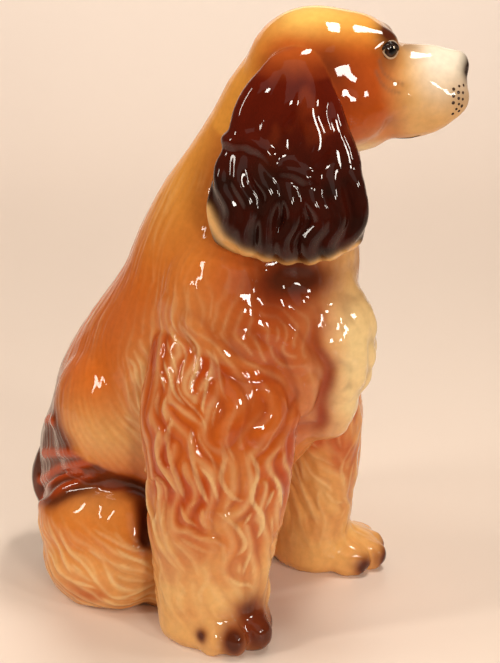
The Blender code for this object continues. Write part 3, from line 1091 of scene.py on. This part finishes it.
# The lower edge of the dark rump on the flank, as (height, back), and on the haunch, as (back, height).
FLANK_EDGE = [(86, -8), (97, 12), (104, 26), (110, 44), (138, 66), (175, 92)]
HAUNCH_EDGE = [(-3, 84), (22, 94), (42, 87), (65, 73), (80, 64), (110, 46)]


def paint_dark_parts_and_shade(colour, skin, masks, fan):
    """The dark rump and tail, painted shade in the creases and under the ear, and the toes."""
    p = skin.p
    side = both_sides(p)
    cloud = clouds(p, 20, 8, 21)
    flank_edge = np.interp(p[:, 2], *zip(*FLANK_EDGE))
    soft = 1 + 0.05 * np.maximum(p[:, 2] - 105, 0)
    rump = smoothstep(-5, 7, (p[:, 1] - flank_edge + 5 * cloud) / soft)
    rump *= 1 - smoothstep(112, 190, p[:, 2] + 14 * cloud)
    haunch_edge = np.interp(p[:, 1], *zip(*HAUNCH_EDGE))
    rump = masks["torso_shell"] * rump + pair(masks, "hind_leg") * smoothstep(-4, 4, p[:, 2] - haunch_edge)
    rump = np.clip(rump + masks["tail"], 0, 1)
    colour = spray(colour, RUST, rump)
    colour = spray(colour, BROWN, rump * (0.95 + 0.35 * cloud) * (1 - 0.85 * fan))
    colour = spray(colour, RED, 0.8 * rump * smoothstep(0.3, 0.9, fan))
    # painted shade along the crease between haunch and body, darker and wider towards the front
    crease = line_distance(side, HAUNCH_CREASE)
    deep = smoothstep(45, 0, p[:, 1])
    colour = spray(colour, RUST, (0.6 + 0.4 * deep) * ridge(crease, 9))
    colour = spray(colour, BROWN, (0.9 + 0.5 * deep) * ridge(crease, 4.5 + 2 * deep))
    # painted shade under the ear: rust round a near-black brown middle, in the hollow there
    colour = spray(colour, RUST, 1.3 * near(side, (40, -94, 237), (33, 26, 18)))
    colour = spray(colour, BROWN, 1.35 * near(side, (38, -98, 240), (27, 22, 12)))
    # painted shade along the bib's crease
    colour = spray(colour, RUST, 1.15 * ridge(line_distance(side, BIB_CREASE), 5.5))
    return paint_toes(colour, skin, masks)


# Fine folds under an eye: (forwards, up) in the head's frame.
EYE_WRINKLES = [
    [(37, 12), (39, 6), (44, 1), (51, -2)],
    [(35, 6), (38, 0), (43, -5), (49, -7)],
]
# Patches of the head: paint, strength, middle, radii.
CROWN = [
    (CROWN_YELLOW, 0.8, (-4, 8, 42), (30, 26, 14)),
    (TEMPLE_YELLOW, 0.7, (-14, 28, 30), (22, 20, 9)),
]
EAR_ROOT = [(RUST, 0.75, (-12, 34, 12), (26, 18, 13))]
CHEEK = [
    (RUST, 0.95, (10, 36, -4), (32, 16, 22)),
    (BROWN, 0.85, (4, 34, 8), (12, 12, 13)),
    (RUST, 1.0, (44, 22, -25), (8, 9, 5)),
    (IVORY, 1.0, (26, 18, -42), (22, 18, 6)),
    (CREAM, 0.3, (38, 22, -32), (14, 16, 8)),
]
EYES_AND_NOSE = [
    (BROWN, 1.4, (43, 17, 27), (8, 12, 7)),
    (GREY_BROWN, 0.6, (55, 6, 18), (9, 9, 5)),
    (BROWN, 0.75, (45, 23, 18), (9, 9, 9)),
    (GREY_BROWN, 0.5, (87, 14, -11), (10, 14, 11)),
    (BLACK_BROWN, 1.6, (94, 0, 4), (7, 14, 9)),
]


def profile_distance(h, points):
    """How far points of the head's frame are from a line drawn on its profile: (forwards, up)."""
    return line_distance(h * (1, 0, 1), [(f, 0, z) for f, z in points])


def paint_head(colour, skin, masks):
    p = skin.p
    h = head_frame(p)
    fold = head_fold(p)
    head = smoothstep(0.1, 0.9, masks["head_shell"])
    cloud = clouds(p, 18, 7, 31)
    colour = spray(colour, GOLD, head * smoothstep(296, 330, p[:, 2]))
    colour = spray_patches(colour, CROWN, head, fold)
    low = 1 - smoothstep(16, 38, h[:, 2] + 0.12 * h[:, 0] + 3 * cloud)
    front = smoothstep(-46, -16, h[:, 0])
    colour = spray(colour, ORANGE, head * front * low)
    colour = spray(colour, RED, 0.5 * head * front * (1 - smoothstep(8, 30, h[:, 2])))
    colour = spray_patches(colour, EAR_ROOT, 1.0, fold)
    colour = spray_patches(colour, CHEEK, head, fold)
    edge = h[:, 0] + 0.10 * h[:, 2] + 2.5 * cloud
    colour = spray(colour, CREAM, head * smoothstep(34, 60, edge))
    colour = spray(colour, WHITE, head * smoothstep(50, 74, edge) * smoothstep(-28, 12, h[:, 2]))
    colour = spray_patches(colour, EYES_AND_NOSE, head, fold)
    for wrinkle in EYE_WRINKLES:
        colour = spray(colour, GREY_BROWN, 0.5 * head * ridge(profile_distance(h, wrinkle), 1.2))
    return colour


# The pale rim of an ear: (forwards, up) in the head's frame.
EAR_RIM = [(-66, -74), (-56, -91), (-38, -101), (-15, -107), (8, -104), (24, -96)]


def paint_ears(colour, skin, masks):
    p = skin.p
    h = head_frame(p)
    cloud = clouds(p, 16, 6, 41)
    for side, name in ((-1, "right_ear"), (1, "left_ear")):
        top = smoothstep(20, 0, h[:, 2] - 0.12 * np.abs(h[:, 0] + 14))
        ear = smoothstep(0.15, 0.75, masks[name]) * (0.25 + 0.75 * top)
        out = np.sum(skin.n * HEAD_LEFT, axis=1) * side
        colour = spray(colour, RUST, ear)
        face = ear * smoothstep(-0.25, 0.3, out) * (0.3 + 0.7 * top)
        colour = spray(colour, OXBLOOD, face)
        level = smoothstep(-5, -60, h[:, 2])
        colour = spray(colour, BLACK_BROWN, face * level * (0.9 + 0.35 * cloud))
        colour = spray(colour, RUST, 0.35 * face * smoothstep(0.1, 0.6, cloud) * (1 - level))
        rim = ridge(profile_distance(h, EAR_RIM), 3.6)
        colour = spray(colour, CREAM, 1.3 * ear * rim * (0.9 + 0.5 * cloud))
    return colour


# --- materials ---


def set_sockets(node, **values):
    for key, value in values.items():
        node.inputs[key.replace("_", " ")].default_value = value


def new_material(name, **settings):
    """A Principled material with these settings, and its nodes, its links and its shader."""
    material = bpy.data.materials.new(name)
    material.use_nodes = True
    tree = material.node_tree
    shader = tree.nodes["Principled BSDF"]
    set_sockets(shader, **settings)
    return material, tree.nodes, tree.links, shader


def noise(nodes, links, scale, detail):
    """Noise fixed to the object."""
    where = nodes.new("ShaderNodeTexCoord")
    texture = nodes.new("ShaderNodeTexNoise")
    set_sockets(texture, Scale=scale, Detail=detail)
    links.new(where.outputs["Object"], texture.inputs["Vector"])
    return texture.outputs["Fac"]


def glaze_material():
    """The painted underglaze, a little mottled, under a clear gloss coat."""
    material, nodes, links, shader = new_material("painted_glaze", Roughness=0.45, Specular_IOR_Level=0.0)
    set_sockets(shader, Coat_Weight=1.0, Coat_Roughness=0.03, Coat_IOR=1.38)
    under = nodes.new("ShaderNodeAttribute")
    under.attribute_name = "underglaze"
    amount = nodes.new("ShaderNodeMapRange")
    set_sockets(amount, To_Min=0.84, To_Max=1.12)
    tint = nodes.new("ShaderNodeVectorMath")
    tint.operation = "SCALE"
    links.new(noise(nodes, links, 240.0, 5.0), amount.inputs["Value"])
    links.new(under.outputs["Color"], tint.inputs[0])
    links.new(amount.outputs["Result"], tint.inputs["Scale"])
    links.new(tint.outputs["Vector"], shader.inputs["Base Color"])
    return material


def biscuit_material():
    """Fired clay without glaze: matt, pale, a little dirty."""
    material, nodes, links, shader = new_material("biscuit", Roughness=0.9, Specular_IOR_Level=0.1)
    shade = nodes.new("ShaderNodeValToRGB")
    shade.color_ramp.elements[0].color = (0.50, 0.33, 0.20, 1)
    shade.color_ramp.elements[1].color = (0.82, 0.66, 0.50, 1)
    links.new(noise(nodes, links, 90.0, 6.0), shade.inputs["Fac"])
    links.new(shade.outputs["Color"], shader.inputs["Base Color"])
    return material


# --- pieces ---


def cut_into_pieces(skin, names, label, colour, material):
    """One piece for each glazed casting, cut from the skin with its shading normals kept."""
    owner = np.sort(label[skin.quads], axis=1)[:, 1]
    for index, name in enumerate(names):
        if name == BARE:
            continue
        faces = skin.quads[owner == index]
        used, local = np.unique(faces, return_inverse=True)
        mesh = bpy.data.meshes.new(name + "_glazed")
        mesh.from_pydata((skin.p[used] * MM).tolist(), [], local.reshape(-1, 4).tolist())
        mesh.polygons.foreach_set("use_smooth", np.ones(len(faces), bool))
        mesh.normals_split_custom_set_from_vertices(skin.n[used].tolist())
        add_piece(name + "_glazed", mesh, colour[used], name, material)


# --- stage ---

CAMERA_PLACE = (-0.8637, -0.5431, 0.512)
PITCH, AZIMUTH = math.radians(18), math.radians(30)
LENS = 86.88
DOG = (0, -0.05, 0.3)  # what the lights point at
WARM = (1, 0.93, 0.84)
# Lights: name, place, target, size, power, colour, whether the glaze mirrors it.
LIGHTS = [
    # an overhead strip, two windows right of the camera, and a tall one to its left
    ("overhead", (0.25, -0.33, 1.5), DOG, (0.42, 0.22), 10, WARM, True),
    ("right_window", (-0.9, -1.05, 0.5), DOG, (0.2, 0.2), 6, WARM, True),
    ("far_right_window", (-0.45, -1.35, 0.72), DOG, (0.16, 0.24), 5, WARM, True),
    ("left_window", (-1.1, 0.75, 0.9), (0, 0, 0.2), (0.14, 0.6), 7, WARM, True),
    # broad soft light from in front and from behind, and light on the wall
    ("front_fill", (-1.6, -1.2, 1.6), (0, 0, 0.2), (1.8, 1.8), 6, (1, 0.92, 0.82), True),
    ("back_fill", (-0.7, 1.1, 1.4), (0, 0, 0.1), (0.6, 0.6), 7, (1, 0.90, 0.80), False),
    ("wall_light", (1.65, 0.95, 1.25), (2.0, 1.15, 0.1), (3.0, 0.5), 17, (1, 0.96, 0.92), False),
]
WORLD_COLOUR, WORLD_STRENGTH = (1.0, 0.74, 0.52, 1), 0.115
# The floor, in metres along the view: it rises at the back through a quarter circle into a wall.
FLOOR_FRONT, FLOOR_BACK, CURVE, WALL_TOP, HALF_WIDTH = -1.6, 2.2, 0.9, 4.0, 4.0
CURVE_ROWS = 16
PAPER = (0.87, 0.745, 0.645)
# the dark front of the floor is painted shade, standing in for the dim room beyond the paper
DARK_FROM, PALE_FROM, DARK = -0.7, -0.15, 0.04  # the floor darkens in front, so the glaze mirrors no edge


def make_camera():
    """The photograph's view: from the dog's front right, a little above its head."""
    level = math.cos(PITCH)
    forward = Vector((math.cos(AZIMUTH) * level, math.sin(AZIMUTH) * level, -math.sin(PITCH)))
    camera = bpy.data.cameras.new("camera")
    camera.lens = LENS
    camera.sensor_width = 36
    camera.clip_start = 0.01
    obj = link_object("camera", camera, CAMERA_PLACE)
    obj.rotation_euler = forward.to_track_quat("-Z", "Y").to_euler()
    bpy.context.scene.camera = obj


def area_light(name, place, target, size, power, colour, mirrored):
    """A rectangular light. One that isn't mirrored leaves no highlight on the glaze."""
    light = bpy.data.lights.new(name, "AREA")
    light.shape = "RECTANGLE"
    light.size, light.size_y = size
    light.energy = power
    light.color = colour
    obj = link_object(name, light, place)
    obj.rotation_euler = (Vector(target) - Vector(place)).to_track_quat("-Z", "Y").to_euler()
    obj.visible_glossy = mirrored


def paper_material(forward):
    """Pale paper with painted shade towards the front, where it darkens to stand in for the dim room."""
    material, nodes, links, shader = new_material("paper", Roughness=0.4, Specular_IOR_Level=0.5)
    where = nodes.new("ShaderNodeNewGeometry")
    depth = nodes.new("ShaderNodeVectorMath")
    depth.operation = "DOT_PRODUCT"
    depth.inputs[1].default_value = forward
    fade = nodes.new("ShaderNodeMapRange")
    fade.interpolation_type = "SMOOTHSTEP"
    set_sockets(fade, From_Min=DARK_FROM, From_Max=PALE_FROM, To_Min=DARK)
    paper = nodes.new("ShaderNodeVectorMath")
    paper.operation = "SCALE"
    paper.inputs[0].default_value = PAPER
    links.new(where.outputs["Position"], depth.inputs[0])
    links.new(depth.outputs["Value"], fade.inputs["Value"])
    links.new(fade.outputs["Result"], paper.inputs["Scale"])
    links.new(paper.outputs["Vector"], shader.inputs["Base Color"])
    return material


def make_backdrop():
    """A floor that rises behind into a wall, through a wide curve."""
    bend = FLOOR_BACK - CURVE
    profile = [(FLOOR_FRONT, 0.0), (bend, 0.0)]
    for k in range(1, CURVE_ROWS + 1):
        a = math.pi / 2 * k / CURVE_ROWS
        profile.append((bend + CURVE * math.sin(a), CURVE * (1 - math.cos(a))))
    profile.append((FLOOR_BACK, WALL_TOP))
    forward = Vector((0.866, 0.5, 0))
    side = Vector((0.5, -0.866, 0))
    points, faces = [], []
    for k, (d, z) in enumerate(profile):
        for s in (-HALF_WIDTH, HALF_WIDTH):
            points.append(forward * d + side * s + Vector((0, 0, z)))
        if k:
            faces.append((2 * k - 2, 2 * k, 2 * k + 1, 2 * k - 1))
    mesh = bpy.data.meshes.new("floor")
    mesh.from_pydata(points, [], faces)
    mesh.polygons.foreach_set("use_smooth", [True] * len(faces))
    mesh.materials.append(paper_material(forward))
    floor = link_object("floor", mesh)


def make_stage():
    make_backdrop()
    world = bpy.data.worlds.new("studio")
    bpy.context.scene.world = world
    world.use_nodes = True
    set_sockets(world.node_tree.nodes["Background"], Color=WORLD_COLOUR, Strength=WORLD_STRENGTH)
    for light in LIGHTS:
        area_light(*light)
    bpy.context.scene.view_settings.view_transform = "Standard"


def main():
    skin = Skin(fused_castings())
    skin.smooth(40)
    names, label = nearest_casting(skin)
    masks = {
        name: skin.blurred((label == index).astype(float), 8) for index, name in enumerate(names)
    }
    soften_joints(skin)
    model_head(skin)
    zones, lit, seam_shade, fine, fan = model_coat(skin, masks)
    stand_flat(skin)
    colour = paint_body(skin, masks, zones, lit, seam_shade, fine)
    colour = paint_dark_parts_and_shade(colour, skin, masks, fan)
    colour = paint_head(colour, skin, masks)
    colour = paint_ears(colour, skin, masks)
    colour = np.clip(colour, 0.002, 0.96)
    glaze = glaze_material()
    cut_into_pieces(skin, names, label, colour, glaze)
    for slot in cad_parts[BARE].material_slots:
        slot.material = biscuit_material()
    tree = skin.tree()
    for side in (-1, 1):
        make_eye(tree, side, glaze)
        make_whisker_spots(tree, side, glaze)
        make_mouth(tree, side, glaze)
    make_camera()
    make_stage()


main()
